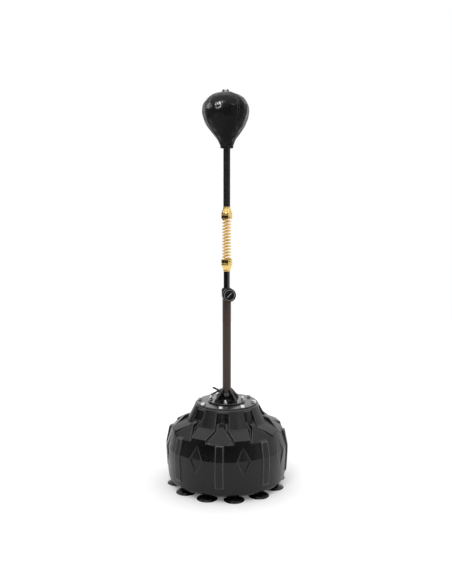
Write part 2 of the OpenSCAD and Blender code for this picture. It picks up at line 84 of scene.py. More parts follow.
class Shader:
    """A node tree, and short ways to add nodes to it."""

    def __init__(self, tree):
        self.tree = tree

    def plug(self, socket, value):
        if isinstance(value, bpy.types.NodeSocket):
            self.tree.links.new(value, socket)
        else:
            socket.default_value = value

    def node(self, kind, **settings):
        made = self.tree.nodes.new(kind)
        for name, value in settings.items():
            setattr(made, name, value)
        return made

    def math(self, operation, a, b=0.0, c=0.0):
        made = self.node("ShaderNodeMath", operation=operation)
        for socket, value in zip(made.inputs, (a, b, c)):
            self.plug(socket, value)
        return made.outputs[0]

    def ramp(self, value, low, high, out_low=0.0, out_high=1.0):
        made = self.node("ShaderNodeMapRange", interpolation_type="SMOOTHSTEP")
        for socket, number in zip(made.inputs, (value, low, high, out_low, out_high)):
            self.plug(socket, number)
        return made.outputs[0]

    def parts_of(self, vector):
        split = self.node("ShaderNodeSeparateXYZ")
        self.plug(split.inputs[0], vector)
        return split.outputs


class Finish(Shader):
    """A Principled material, with the noises, mixes and bumps of its pattern."""

    def __init__(self, name, colour, roughness, metallic=0.0, **sockets):
        self.material = bpy.data.materials.new(name)
        self.material.use_nodes = True
        super().__init__(self.material.node_tree)
        self.shader = self.tree.nodes["Principled BSDF"]
        self.place = self.node("ShaderNodeTexCoord").outputs["Object"]
        self.set("Base Color", (*colour, 1))
        self.set("Roughness", roughness)
        self.set("Metallic", metallic)
        for socket, value in sockets.items():
            self.set(socket.replace("_", " "), value)

    def set(self, socket, value):
        self.plug(self.shader.inputs[socket], value)

    def scaled(self, stretch):
        made = self.node("ShaderNodeMapping")
        self.plug(made.inputs["Vector"], self.place)
        made.inputs["Scale"].default_value = stretch
        return made.outputs[0]

    def noise(self, scale, detail=3.0, distortion=0.0, stretch=(1, 1, 1)):
        made = self.node("ShaderNodeTexNoise")
        self.plug(made.inputs["Vector"], self.scaled(stretch))
        for socket, value in (("Scale", scale), ("Detail", detail), ("Distortion", distortion)):
            made.inputs[socket].default_value = value
        return made.outputs["Fac"]

    def cells(self, scale, feature="F1", stretch=(1, 1, 1)):
        made = self.node("ShaderNodeTexVoronoi", feature=feature)
        self.plug(made.inputs["Vector"], self.scaled(stretch))
        made.inputs["Scale"].default_value = scale
        return made.outputs["Distance"]

    def mix(self, factor, first, second):
        made = self.node("ShaderNodeMix", data_type="RGBA")
        self.plug(made.inputs["Factor"], factor)
        for socket, value in ((made.inputs[6], first), (made.inputs[7], second)):
            self.plug(socket, value if isinstance(value, bpy.types.NodeSocket) else (*value, 1))
        return made.outputs[2]

    def bump(self, *layers):
        """Stacks (height, strength, depth in metres) layers and plugs them in as the normal."""
        normal = None
        for height, strength, depth in layers:
            made = self.node("ShaderNodeBump")
            self.plug(made.inputs["Height"], height)
            made.inputs["Strength"].default_value = strength
            made.inputs["Distance"].default_value = depth
            if normal is not None:
                self.plug(made.inputs["Normal"], normal)
            normal = made.outputs[0]
        self.set("Normal", normal)

    def turn_and_height(self):
        """Angle about the pole in radians, and height in metres."""
        x, y, z = self.parts_of(self.place)
        return self.math("ARCTAN2", x, self.math("MULTIPLY", y, -1.0)), z


def paler(colour, gain, lift):
    return tuple(gain * c + lift for c in colour)


def moulded_plastic(name, colour, roughness, grain=900, specular=0.5, edge_highlight=0.0):
    """Moulded plastic: fine grain, cloudy gloss, a few dusty scuffs, and a painted highlight that pales its
    convex edges.
    """
    look = Finish(name, colour, roughness, Specular_IOR_Level=specular)
    cloud = look.noise(9, 4, 0.4)
    scuff = look.ramp(look.noise(60, 5, 1.2, (1, 1, 0.35)), 0.62, 0.72)
    plain = look.mix(look.math("MULTIPLY", scuff, 0.35), colour, paler(colour, 1.9, 0.004))
    # Painted highlight: convex edges, found by pointiness, are mixed towards pale grey in the base colour.
    edge = look.ramp(look.node("ShaderNodeNewGeometry").outputs["Pointiness"], 0.508, 0.540)
    look.set("Base Color", look.mix(look.math("MULTIPLY", edge, edge_highlight), plain, (0.22, 0.22, 0.22)))
    gloss = look.ramp(cloud, 0.3, 0.7, roughness - 0.04, roughness + 0.05)
    look.set("Roughness", look.math("MULTIPLY_ADD", scuff, 0.10, gloss))
    look.bump((look.cells(grain), 0.22, 0.0002), (look.noise(14, 3), 0.25, 0.0008))
    return look.material


def rubber(name, colour, roughness):
    """Soft rubber with a light bloom and fine pits."""
    look = Finish(name, colour, roughness, Specular_IOR_Level=0.5)
    bloom = look.ramp(look.noise(45, 5, 0.6), 0.45, 0.75)
    look.set("Base Color", look.mix(bloom, colour, paler(colour, 1.6, 0.004)))
    look.set("Roughness", look.ramp(bloom, 0, 1, roughness, roughness + 0.12))
    look.bump((look.noise(700, 3), 0.15, 0.0002), (look.noise(30, 2), 0.2, 0.0006))
    return look.material


def enamel(name, colour, roughness, coat=0.6, flake=0.0):
    """Gloss coat on steel: orange peel, fine dust, and flake in the plate's coat."""
    look = Finish(name, colour, roughness, Coat_Weight=coat, Coat_Roughness=0.06, Specular_IOR_Level=0.5)
    dust = look.ramp(look.noise(420, 2), 0.66, 0.78)
    amount = look.math("MULTIPLY", dust, 0.5 + flake)
    look.set("Base Color", look.mix(amount, colour, paler(colour, 2.5, 0.01)))
    look.set("Roughness", look.ramp(look.noise(22, 4, 0.5), 0.3, 0.7, roughness, roughness + 0.10))
    look.bump((look.noise(260, 2), 0.12, 0.0003), (look.noise(34, 2), 0.12, 0.0006))
    return look.material


def plated_metal(name, colour, roughness, worn):
    """Plated metal: turning lines, cloudy polish and a few darker specks."""
    look = Finish(name, colour, roughness, 1.0)
    lines = look.noise(1400, 2, 0.0, (0.02, 0.02, 1))
    cloud = look.noise(70, 4, 0.5)
    look.set("Base Color", look.mix(look.ramp(cloud, 0.45, 0.75), colour, worn))
    look.set("Roughness", look.ramp(lines, 0.3, 0.7, roughness, roughness + 0.07))
    look.bump((lines, 0.04, 0.0001), (look.noise(160, 2), 0.03, 0.0002))
    return look.material


def twill_lacquer(name):
    """Twill weave under clear lacquer on the lower tube: slanted ridges, warm tint between them."""
    look = Finish(name, (0.04, 0.03, 0.027), 0.3, Specular_IOR_Level=0.25)
    turn, height = look.turn_and_height()
    radius, slope, pitch = 0.01725, 0.58, 0.0105
    along = look.math("MULTIPLY_ADD", turn, radius * slope, height)
    phase = look.math("MULTIPLY", along, 2 * math.pi / pitch)
    wobble = look.noise(120, 2)
    stripe = look.math("SINE", look.math("MULTIPLY_ADD", wobble, 0.9, phase))
    ridge = look.ramp(stripe, -0.5, 0.75)
    slant = look.math("MULTIPLY_ADD", turn, -radius * 1.5, height)
    thread = look.math("SINE", look.math("MULTIPLY", slant, 4200))
    fine = look.ramp(thread, -1, 1)
    tint = look.mix(look.ramp(look.noise(40, 3), 0.35, 0.65), (0.17, 0.098, 0.078), (0.13, 0.100, 0.088))
    look.set("Base Color", look.mix(ridge, (0.002, 0.0015, 0.0015), tint))
    look.set("Roughness", look.ramp(fine, 0, 1, 0.26, 0.42))
    look.bump((ridge, 0.5, 0.0005), (fine, 0.25, 0.00015))
    return look.material


def leather(name, colour, roughness):
    """Gloss synthetic leather: pebble grain, creases and scuffs along the pebbles."""
    look = Finish(name, colour, roughness, Specular_IOR_Level=0.11)
    pebble = look.cells(620, "SMOOTH_F1")
    crease = look.cells(75, "DISTANCE_TO_EDGE", (1, 1, 0.7))
    scuff = look.ramp(look.noise(26, 5, 1.0), 0.6, 0.8)
    look.set("Base Color", look.mix(look.math("MULTIPLY", scuff, 0.4), colour, paler(colour, 2.2, 0.006)))
    look.set("Roughness", look.ramp(look.noise(17, 4, 0.8), 0.3, 0.7, roughness, roughness + 0.12))
    look.bump((pebble, 0.20, 0.0002), (look.ramp(crease, 0, 0.12), 0.16, 0.0003),
              (look.noise(48, 3, 0.6), 0.25, 0.0012))
    return look.material


def grip_sleeve(name):
    """Heat-shrunk grip sleeve: a diamond emboss over a matt foam skin."""
    look = Finish(name, (0.010, 0.010, 0.0105), 0.5, Specular_IOR_Level=0.25)
    turn, height = look.turn_and_height()
    waves = [look.math("SINE", look.math("MULTIPLY_ADD", turn, 12 * side, look.math("MULTIPLY", height, 900)))
             for side in (-1, 1)]
    diamond = look.ramp(look.math("MULTIPLY", *waves), -0.6, 0.7)
    blotch = look.ramp(look.noise(55, 4, 0.7), 0.35, 0.7)
    look.set("Base Color", look.mix(blotch, (0.007, 0.007, 0.0075), (0.014, 0.014, 0.015)))
    look.set("Roughness", look.ramp(diamond, 0, 1, 0.62, 0.42))
    look.bump((diamond, 0.6, 0.0005), (look.noise(500, 3), 0.25, 0.0002))
    return look.material


def braid(name, colour):
    """Braided thread or cord."""
    look = Finish(name, colour, 0.6, Specular_IOR_Level=0.3)
    strands = look.noise(1500, 2, 0.0, (1, 1, 0.4))
    look.set("Base Color", look.mix(strands, colour, paler(colour, 2.4, 0.008)))
    look.set("Roughness", look.ramp(strands, 0.3, 0.7, 0.5, 0.75))
    look.bump((strands, 0.5, 0.0003))
    return look.material


GOLD, GOLD_DEEP = (0.86, 0.62, 0.24), (0.78, 0.50, 0.14)
finishes = {
    # The base's plastic carries the painted edge highlight, 0.3 strong.
    "base_plastic": moulded_plastic("base_plastic", (0.0028, 0.0028, 0.0031), 0.26, specular=0.36, edge_highlight=0.3),
    "cap_plastic": moulded_plastic("cap_plastic", (0.010, 0.010, 0.011), 0.40),
    "collar_plastic": moulded_plastic("collar_plastic", (0.006, 0.006, 0.0065), 0.27, specular=0.3),
    "knob_plastic": moulded_plastic("knob_plastic", (0.0045, 0.0045, 0.005), 0.30, specular=0.2),
    "nylon": moulded_plastic("nylon", (0.028, 0.028, 0.029), 0.45),
    "rubber": rubber("rubber", (0.020, 0.020, 0.021), 0.55),
    "cup_rubber": rubber("cup_rubber", (0.0035, 0.0035, 0.0040), 0.10),
    "bladder_rubber": rubber("bladder_rubber", (0.18, 0.06, 0.04), 0.55),
    "plate_coat": enamel("plate_coat", (0.020, 0.020, 0.021), 0.16, 0.3, 0.1),
    "black_gloss_coat": enamel("black_gloss_coat", (0.006, 0.006, 0.007), 0.12),
    "gloss_tube": enamel("gloss_tube", (0.005, 0.005, 0.006), 0.12),
    "zinc_steel": plated_metal("zinc_steel", (0.80, 0.81, 0.82), 0.16, (0.62, 0.62, 0.60)),
    "brass": plated_metal("brass", (0.78, 0.57, 0.26), 0.25, (0.55, 0.36, 0.14)),
    "knob_face": enamel("knob_face", (0.36, 0.36, 0.37), 0.30, 0.3),
    "gold_chrome": plated_metal("gold_chrome", GOLD, 0.09, GOLD_DEEP),
    "gold_spring": plated_metal("gold_spring", GOLD, 0.11, GOLD_DEEP),
    "black_screw": plated_metal("black_screw", (0.10, 0.10, 0.11), 0.3, (0.05, 0.05, 0.05)),
    "twill_tube": twill_lacquer("twill_tube"),
    "sleeve_foam": grip_sleeve("sleeve_foam"),
    "ball_leather": leather("ball_leather", (0.0022, 0.0022, 0.0024), 0.15),
    "lace_cord": braid("lace_cord", (0.008, 0.008, 0.008)),
}


# ---- Mesh helpers: points are in millimetres until piece() writes them ----

def clean_mesh(name, points, faces, place=Matrix.Identity(4)):
    """Mesh in metres with its doubled points merged and its faces turned outwards."""
    mesh = bpy.data.meshes.new(name)
    mesh.from_pydata([tuple(p) for p in np.asarray(points, float).reshape(-1, 3)], [], faces)
    work = bmesh.new()
    work.from_mesh(mesh)
    bmesh.ops.remove_doubles(work, verts=work.verts, dist=1e-4)
    bmesh.ops.dissolve_degenerate(work, edges=work.edges, dist=1e-5)
    bmesh.ops.recalc_face_normals(work, faces=work.faces)
    work.to_mesh(mesh)
    work.free()
    mesh.transform(place @ Matrix.Diagonal((MM, MM, MM, 1)))
    return mesh


def smooth(mesh, sharp):
    """Smooth shading, but for edges sharper than an angle in degrees."""
    mesh.polygons.foreach_set("use_smooth", [True] * len(mesh.polygons))
    mesh.set_sharp_from_angle(angle=math.radians(sharp))


def piece(name, points, faces, node=None, material=None, body=None, place=Matrix.Identity(4), sharp=50):
    """Makes one shown piece. node is the CAD node that it stands for, which also gives body and finish."""
    slot = material or slot_of[node]
    mesh = clean_mesh(name, points, faces, place)
    smooth(mesh, sharp)
    mesh.materials.append(finishes[slot])
    made = bpy.data.objects.new(name, mesh)
    scene.collection.objects.link(made)
    if node:
        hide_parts(node)
    if body != "blended":
        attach(made, body or body_of[node])
    return made


def grid_faces(rows, columns, first=0, close_rows=False, close_columns=True):
    """Quads of a grid whose columns run round, row by row."""
    return [(first + i * columns + j, first + i * columns + (j + 1) % columns,
             first + (i + 1) % rows * columns + (j + 1) % columns, first + (i + 1) % rows * columns + j)
            for i in range(rows if close_rows else rows - 1)
            for j in range(columns if close_columns else columns - 1)]


def rounded(outline, radius=1.0, steps=4, closed=True):
    """Rounds the corners of an outline. A point may carry its own radius as a third number."""
    points = [np.array(p[:2], float) for p in outline]
    count, line = len(points), []
    for i, corner in enumerate(points):
        own = outline[i][2] if len(outline[i]) > 2 else radius
        if own <= 0 or (not closed and i in (0, count - 1)):
            line.append(corner)
            continue
        back, ahead = points[i - 1] - corner, points[(i + 1) % count] - corner
        lengths = np.linalg.norm(back), np.linalg.norm(ahead)
        back, ahead = back / lengths[0], ahead / lengths[1]
        half = math.acos(max(-1.0, min(1.0, float(back @ ahead)))) / 2
        reach = min(own / max(math.tan(half), 1e-3), 0.45 * min(lengths))
        for t in np.linspace(0, 1, steps + 1):
            line.append(corner + back * reach * (1 - t) ** 2 + ahead * reach * t ** 2)
    return np.array(line)


def lathe(profile, sides=96, radius=1.0, closed=True, steps=4, wave=None):
    """Points and faces of a turned solid from its [radius, height] outline. An open one ends on the axis."""
    line = rounded(profile, radius, steps, closed)
    turn = np.arange(sides) * 2 * math.pi / sides
    r = np.repeat(line[:, :1], sides, axis=1)
    z = np.repeat(line[:, 1:], sides, axis=1)
    if wave is not None:
        r, z = wave(r, z, turn[None, :])
    points = np.stack([r * np.sin(turn), -r * np.cos(turn), z], axis=-1)
    return points.reshape(-1, 3), grid_faces(len(line), sides, close_rows=closed)


def tube_outline(outer, inner, low, high):
    return [(inner, low), (outer, low), (outer, high), (inner, high)]


def joined(parts):
    """One list of points and faces from several."""
    points, faces, start = [], [], 0
    for some_points, some_faces in parts:
        points.append(np.asarray(some_points, float))
        faces += [tuple(start + i for i in face) for face in some_faces]
        start += len(some_points)
    return np.concatenate(points), faces


def placed(part, matrix):
    points, faces = part
    m = np.array(matrix)
    return points @ m[:3, :3].T + m[:3, 3], faces


def spin(degrees):
    return Matrix.Rotation(math.radians(degrees), 4, "Z")


def ring(part, count, first, radius, height=0.0, twist=0.0):
    """Copies of a part on a circle about the pole, from an angle off -Y, each twisted more than the last."""
    return joined([placed(part, spin(first + 360 * i / count) @ Matrix.Translation((0, -radius, height))
                          @ spin(twist * i)) for i in range(count)])


def swept(path, radius, sides=12, closed=False):
    """Tube along a path, with frames carried along it. radius is a number or one per point."""
    path = np.asarray(path, float)
    count = len(path)
    ahead = np.roll(path, -1, axis=0) - np.roll(path, 1, axis=0)
    if not closed:
        ahead[0], ahead[-1] = path[1] - path[0], path[-1] - path[-2]
    ahead /= np.linalg.norm(ahead, axis=1)[:, None]
    side = np.cross(ahead[0], (0.0, 0.0, 1.0) if abs(ahead[0][2]) < 0.9 else (1.0, 0.0, 0.0))
    radii = np.broadcast_to(radius, (count,))
    rings = []
    for point, direction, r in zip(path, ahead, radii):
        side = side - direction * (side @ direction)
        side /= np.linalg.norm(side)
        up = np.cross(direction, side)
        rings.append([point + r * (math.cos(a) * side + math.sin(a) * up)
                      for a in np.arange(sides) * 2 * math.pi / sides])
    faces = grid_faces(count, sides, close_rows=closed)
    if not closed:
        faces += [tuple(range(sides - 1, -1, -1)), tuple((count - 1) * sides + j for j in range(sides))]
    return np.array(rings).reshape(-1, 3), faces


def slab(outline, thickness, edge=1.0, corner=3.0):
    """Plate of the given outline in x and y, with rounded corners and edges, centred on z = 0."""
    line = rounded(outline, corner, 5)
    normal = np.roll(line, -1, axis=0) - np.roll(line, 1, axis=0)
    normal = np.stack([normal[:, 1], -normal[:, 0]], axis=1)
    normal /= np.linalg.norm(normal, axis=1)[:, None] + 1e-12
    area = np.sum(line[:, 0] * np.roll(line[:, 1], -1) - np.roll(line[:, 0], -1) * line[:, 1])
    normal *= -1 if area > 0 else 1
    levels = [(edge * (1 - math.sin(a)), thickness / 2 - edge * (1 - math.cos(a)))
              for a in np.linspace(0, math.pi / 2, 5)]
    levels += [(inset, -height) for inset, height in reversed(levels)]
    rows = [np.column_stack([line + normal * inset, np.full(len(line), height)]) for inset, height in levels]
    count = len(line)
    faces = grid_faces(len(rows), count)
    faces += [tuple(range(count)), tuple((len(rows) - 1) * count + j for j in range(count - 1, -1, -1))]
    return np.concatenate(rows), faces


def outward(turn, height):
    """Frame whose z axis points out from the pole at this angle from -Y, at this height."""
    return Matrix.Translation((0, 0, height)) @ spin(turn) @ Matrix.Rotation(math.pi / 2, 4, "X")


def metres(place):
    """A frame given in millimetres, for piece()."""
    moved = place.copy()
    moved.translation *= MM
    return moved


def size_of(node):
    """Lowest and highest corner of a CAD node in millimetres."""
    low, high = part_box(node)
    return low / MM, high / MM


def extent(node):
    """Foot, top and outer radius of a CAD node in millimetres."""
    low, high = size_of(node)
    return low.z, high.z, (high.x - low.x) / 2


# ---- Base ----

SECTOR, SECTOR_FIRST, CUP_FIRST = 45.0, -6.9, 8.0
CREASE_Z = 164.0


def polar(degrees, r, z):
    a = math.radians(degrees)
    return r * math.sin(a), r * math.cos(a), z


def cone_radius(z):
    """Steep upper part of the panels."""
    return 128 + (331 - z) * 35 / 66


def band_radius(z):
    """Slanted band between the panels and the crease."""
    return 245.5 - (z - CREASE_Z) * 21 / 76


def rib_radius(z):
    return 251 - max(z - CREASE_Z, 0) * 12.5 / 61


def base_rows():
    """Key rows of half a sector, from the seat down, and whether a row's points join straight.

    The ten key columns are: the middle, the rib's edge and its foot, the fan's edge and its foot, the far
    side of the channel at its foot, the panel's edge, the diamond's edge and its floor, the panel's middle.
    """
    top = (0, 1.4, 1.8, 3.4, 3.8, 9.9, 10.5, 14, 16, 22.5)
    side = (0, 1.3, 1.7, 3.4, 4.4, 9.2, 9.8, 14, 16, 22.5)
    rows = [([polar(a, 128, 331) for a in top], False, 3)]
    rows.append(([polar(a, cone_radius(322), 322) for a in top], False, 3))
    rows.append(([polar(a, 128.6, 320.4) for a in top[:6]]
                 + [polar(a, cone_radius(320.4), 320.4) for a in top[6:]], False, 2))
    rows.append(([(lat, 142, 283) for lat in (0, 3, 3.6, 9)] + [(11, 140.6, 281.8), polar(9.2, 141.5, 281.8)]
                 + [polar(a, cone_radius(283), 283) for a in side[6:]], True, 12))
    rows.append(([(lat, 158, 278.6) for lat in (0, 3, 3.6, 8)]
                 + [(9.8, 162.4, 260.0), polar(8.7, 162.6, 260.0)]
                 + [polar(a - 0.5, cone_radius(272), 272) for a in side[6:9]]
                 + [polar(22.5, cone_radius(272), 272)], True, 8))
    rows.append(([(lat, 172, 274) for lat in (0, 3, 3.6, 8)] + [(9.8, 171, 257.0), (24.4, 167.5, 257.0)]
                 + [(25.4, 165.9, 264.6), polar(13.2, 163.4, 265)]
                 + [polar(a, 163, 265) for a in (16.4, 22.5)], True, 5))
    rows.append(([(0, 222, 229.5), (15.5, 222, 229.5), (16.5, 222, 229.5), (50.5, 221, 229.6)]
                 + [(52.2, 219.6, 228.0), (56.9, 216.8, 231.0), (56.1, 216.9, 240.4)]
                 + [polar(16.8, 224, 240.4), polar(18.4, 224, 240.4), polar(22.5, 224, 240.4)], True, 18))
    rows.append(([(0, 238.6, 225.2), (15.6, 238.0, 225.2), polar(4.25, 228.6, 225.4)]
                 + [polar(a, 228.9, 224.6) for a in (12.7, 13.4)]
                 + [polar(14.4, 228.6, 225.2), polar(15.2, 226.6, 232.5)]
                 + [polar(a, 225.6, 236.6) for a in (17.2, 18.8, 22.5)], False, 4))
    depth = {214: (231.2, 0.5), 164: (241.3, 1), 136: (241.8, 1), 110: (243.6, 0.5)}
    for z, count in ((214, 6), (164, 16), (136, 9), (110, 9)):
        body = band_radius(z) if z >= CREASE_Z else 245.5 - max(136 - z, 0) * 2.5 / 46
        rib = rib_radius(z) if z >= 136 else 251 - (136 - z) * 2.5 / 46
        half = math.degrees(max(28 * (1 - abs(z - 162) / 53), 1.3) / body)
        rows.append(([polar(0, rib, z), polar(3.75, rib, z), polar(4.3, body, z)]
                     + [polar(a, body, z) for a in (7.2, 8.6, 10.6, 12.4)]
                     + [polar(22.5 - half, body, z), polar(22.5 - max(half - 0.75, 0.1), depth[z][0], z),
                        polar(22.5, depth[z][0], z)], False, count))
    low = (0, 3.8, 4.4, 7.2, 8.6, 10.6, 12.4, 16.6, 18.4, 22.5)
    for z, body, rib, count in ((90, 243, 248.5, 5), (62, 241.2, 246.6, 8), (54, 240.5, 241.2, 4),
                                (32, 237.8, 237.8, 5), (23.6, 233, 233, 4), (22, 226.5, 226.5, 3)):
        rows.append(([polar(a, rib if i < 2 else body, z) for i, a in enumerate(low)], False, count))
    return rows


def eased(count):
    """Steps from 0 to 1, closer together at the ends, without the last."""
    return 0.5 - 0.5 * np.cos(np.pi * np.arange(count) / count)


def dense_row(points, straight, counts):
    """Fills a key row between its ten points, along straight lines or along arcs about the pole."""
    made = []
    for first, second, count in zip(points, points[1:], counts):
        a, b = np.array(first, float), np.array(second, float)
        t = eased(count)[:, None]
        if straight:
            made.append(a + (b - a) * t)
            continue
        turns = [math.atan2(p[0], p[1]) for p in (a, b)]
        radii = [math.hypot(p[0], p[1]) for p in (a, b)]
        turn = turns[0] + (turns[1] - turns[0]) * t
        r = radii[0] + (radii[1] - radii[0]) * t
        made.append(np.hstack([r * np.sin(turn), r * np.cos(turn), a[2] + (b[2] - a[2]) * t]))
    return np.vstack(made + [np.array([points[-1]], float)])


def base_grid():
    """Outside of the base as a grid of rows by columns round the pole, edges already softened."""
    counts = (6, 2, 8, 2, 4, 2, 8, 2, 8)
    keys = base_rows()
    key_rows = [dense_row(points, straight, counts) for points, straight, _ in keys]
    rows = []
    for upper, lower, (_, _, count) in zip(key_rows, key_rows[1:], keys[1:]):
        rows += [upper + (lower - upper) * t for t in eased(count)]
    half = np.array(rows + [key_rows[-1]])
    turned = []
    sector = np.concatenate([half[:, ::-1] * np.array([-1, 1, 1]), half[:, 1:-1]], axis=1)
    for k in range(8):
        a = math.radians(SECTOR_FIRST + SECTOR * k)
        x, y, z = sector[..., 0], sector[..., 1], sector[..., 2]
        out_x = x * math.cos(a) + y * math.sin(a)
        out_y = x * math.sin(a) - y * math.cos(a)
        turned.append(np.stack([out_x, out_y, z], axis=-1))
    grid = np.concatenate(turned, axis=1)
    for _ in range(3):
        near = (np.roll(grid, 1, axis=1) + np.roll(grid, -1, axis=1))[1:-1] + grid[:-2] + grid[2:]
        grid[1:-1] = 0.45 * grid[1:-1] + 0.55 * near / 4
    return grid


def turned_rows(profile, like):
    """Rows of a turned surface whose columns stand at the same angles as those of the row given."""
    turn = np.arctan2(like[:, 0], -like[:, 1])
    return [np.stack([r * np.sin(turn), -r * np.cos(turn), np.full(len(turn), z)], axis=-1)
            for r, z in profile]


def base_shell():
    grid = base_grid()
    inside = rounded([(0.02, 50), (156, 50), (168, 30), (215, 30), (230, 40), (234, 100), (231, 164),
                      (224, 205), (212, 222), (157, 247), (136, 274), (122, 298), (112, 314), (80, 314),
                      (80, 331), (128, 331)], 3, 2, closed=False)[:-1]
    below = rounded([(226, 22), (160, 22), (152, 42), (0.02, 42)], 4, 3, closed=False)[1:]
    rows = turned_rows(inside, grid[0]) + list(grid) + turned_rows(below, grid[-1])
    shell = np.array(rows)
    turn = np.degrees(np.arctan2(shell[..., 0], -shell[..., 1]))
    radius = np.hypot(shell[..., 0], shell[..., 1])
    off = (turn - CUP_FIRST + 15) % 30 - 15
    arch = 4.0 * np.exp(-(off / 7.5) ** 2) * np.clip((58 - shell[..., 2]) / 34, 0, 1) ** 2
    shell[..., 2] += arch * np.clip((radius - 214) / 10, 0, 1)
    columns = shell.shape[1]
    body = shell.reshape(-1, 3), grid_faces(len(shell), columns)
    low, high = size_of("fill_cap")
    centre = (low + high) / 2
    neck = lathe([(15, 222), (21.4, 222), (21.4, 246, 4), (20, 248), (20, 270), (21.4, 271), (21.4, 278),
                  (15, 278)], 72, 0.8)
    whole = joined([body, placed(neck, Matrix.Translation((centre.x, centre.y, 0)))])
    piece("base_shell_moulding", *whole, node="base_shell", sharp=60)


def suction_cups():
    """Twelve cups, each a thin glossy lip with a ring moulded on its back."""
    outline = [(0, 12.5), (10, 11.4), (24, 7.2), (33, 2.6), (38.2, 0.0, 0.4), (40.9, 0.0, 0.4),
               (40.9, 1.2, 0.5), (37.6, 4.0), (34.6, 5.2, 0.6), (34.0, 6.4, 0.6), (31.6, 6.9, 0.6), (28, 9.2),
               (18, 14.8, 5), (12, 19, 3), (11.4, 24), (7.6, 24), (7.6, 35), (0, 35)]
    form = lathe(outline, 96, 1.2, closed=False)
    for number in range(1, 13):
        place = spin(CUP_FIRST + 30 * (number - 1)) @ Matrix.Translation((0, -204, 0))
        piece(f"cup_{number:02d}", *placed(form, place), node=f"suction_cup_{number:02d}")


def hex_head(flats, height, washer_face=0.5, bore=0.0):
    """Hexagon head or nut with the arcs that its turned chamfer leaves, standing on height 0."""
    sides = 72
    turn = np.arange(sides) * 2 * math.pi / sides
    hexagon = (flats / 2) / np.cos((turn + math.pi / 6) % (math.pi / 3) - math.pi / 6)
    hexagon = np.minimum(hexagon, flats * 0.568)
    levels = [(bore, 0), (flats * 0.47, 0), (flats * 0.48, washer_face), (99, washer_face)]
    levels += [(flats / 2 + (height - z) * 1.9 - 0.55, z) for z in np.linspace(height - 1.6, height - 0.1, 6)]
    levels += [(flats * 0.44, height), (bore + 0.5, height), (bore, height - 0.5)]
    rows = []
    for limit, z in levels:
        r = np.minimum(hexagon, limit) if limit > bore + 1 else np.full(sides, limit)
        rows.append(np.stack([r * np.sin(turn), -r * np.cos(turn), np.full(sides, z)], axis=-1))
    return np.array(rows).reshape(-1, 3), grid_faces(len(rows), sides, close_rows=bore > 0)


def threaded(radius, low, run_out, high, pitch=1.25):
    """Threaded bar between two heights, with a chamfered end above run_out."""
    z = np.append(np.arange(low, run_out, pitch / 6), run_out)
    outline = [(0, low)] + [(radius, height, 0) for height in z] + [(radius - 1, high, 0), (0, high)]

    def thread(r, height, turn):
        tooth = np.abs((height / pitch - turn / (2 * math.pi)) % 1 - 0.5)
        return r - np.where(r > radius - 0.1, 0.9 * tooth, 0), height

    return lathe(outline, 40, 0, closed=False, wave=thread)


def plate(name, node, edge, sides):
    """Round plate, its upper edge rounded by the amount given."""
    foot, top, r = extent(node)
    outline = [(12, foot), (r, foot, 0.8), (r, top, edge), (12, top)]
    piece(name, *lathe(outline, sides, 0.6), node=node)


def washers(name, node, outer, bore, circle):
    foot, top, _ = extent(node)
    piece(name, *ring(lathe(tube_outline(outer, bore, foot, top), 64, 0.5), *circle), node=node)
    return top


def flange_parts():
    plate("flange_plate_coated", "flange_plate", 1.6, 240)
    top = washers("flange_washers_zinc", "flange_washers", 10, 5.3, FLANGE_CIRCLE)
    shank, length = 4.9, 28
    stem = lathe([(0, -length), (shank, -length), (shank, 0.3), (0, 0.3)], 32, 0.6, closed=False)
    bolt = joined([hex_head(16, 6.4), stem])
    piece("flange_bolts_zinc", *ring(bolt, *FLANGE_CIRCLE, top, 17), node="flange_bolts", sharp=30)


def socket_parts():
    plate("socket_plate_gloss", "socket_plate", 2.0, 180)
    washers("socket_washers_zinc", "socket_washers", 8.5, 4.3, SOCKET_CIRCLE)
    foot, top, _ = extent("socket_nuts")
    nut = hex_head(13, top - foot, bore=4.02)
    piece("socket_nuts_zinc", *ring(nut, *SOCKET_CIRCLE, foot, 23), node="socket_nuts", sharp=30)
    foot, top, _ = extent("socket_bolts")
    head_h = 5.3
    over = Matrix.Translation((0, 0, foot + head_h)) @ Matrix.Rotation(math.pi, 4, "X")
    head = placed(hex_head(13, head_h), over)
    stud = joined([head, threaded(3.98, foot + head_h - 0.1, top - 1.2, top)])
    piece("socket_bolts_zinc", *ring(stud, *SOCKET_CIRCLE), node="socket_bolts", sharp=30)
    foot, rim, r = extent("socket_tube")

    def beaded(radius, height, turn):
        """Weld bead: overlapping drops round the tube's foot."""
        lift = 0.5 * np.sin(26 * turn) + 0.25 * np.sin(11 * turn + 1)
        return radius + lift * (radius > r + 1), height + lift * 0.6 * (height > foot + 1) * (radius > r)

    tube = lathe([(17.35, foot), (r, foot), (r, rim, 1.2), (17.35, rim, 0.6)], 128, 0.6)
    bead = lathe([(r - 1.5, foot), (r + 4, foot, 0.3), (r + 3.2, foot + 2.6, 1.5), (r + 0.4, foot + 4.4, 0.6),
                  (r - 1.5, foot + 4.4)], 192, 1, wave=beaded)
    piece("socket_tube_gloss", *joined([tube, bead]), node="socket_tube")
    low, high = size_of("gusset_front")
    outline = [(r - 0.4, low.z), (62, low.z), (62, low.z + 6, 4), (25, high.z, 3), (17.6, high.z, 1.5),
               (17.6, rim, 0), (r - 0.4, rim, 0)]
    fin = slab(outline, 7, 1.0, 2.0)
    upright = Matrix.Rotation(math.pi / 2, 4, "X")
    for turn, name in zip((40, 130, 220, 310), ("front", "right", "rear", "left")):
        beads = []
        for side in (-1, 1):
            line = [(s, -3.6 * side + 0.25 * math.sin(s), low.z + 1.0 + 0.3 * math.sin(1.7 * s))
                    for s in np.arange(r + 1, 61, 1.2)]
            beads.append(swept(line, 1.7, 8))
        whole = joined([placed(fin, upright)] + beads)
        piece(f"gusset_{name}_gloss", *placed(whole, spin(turn - 90)), node=f"gusset_{name}")


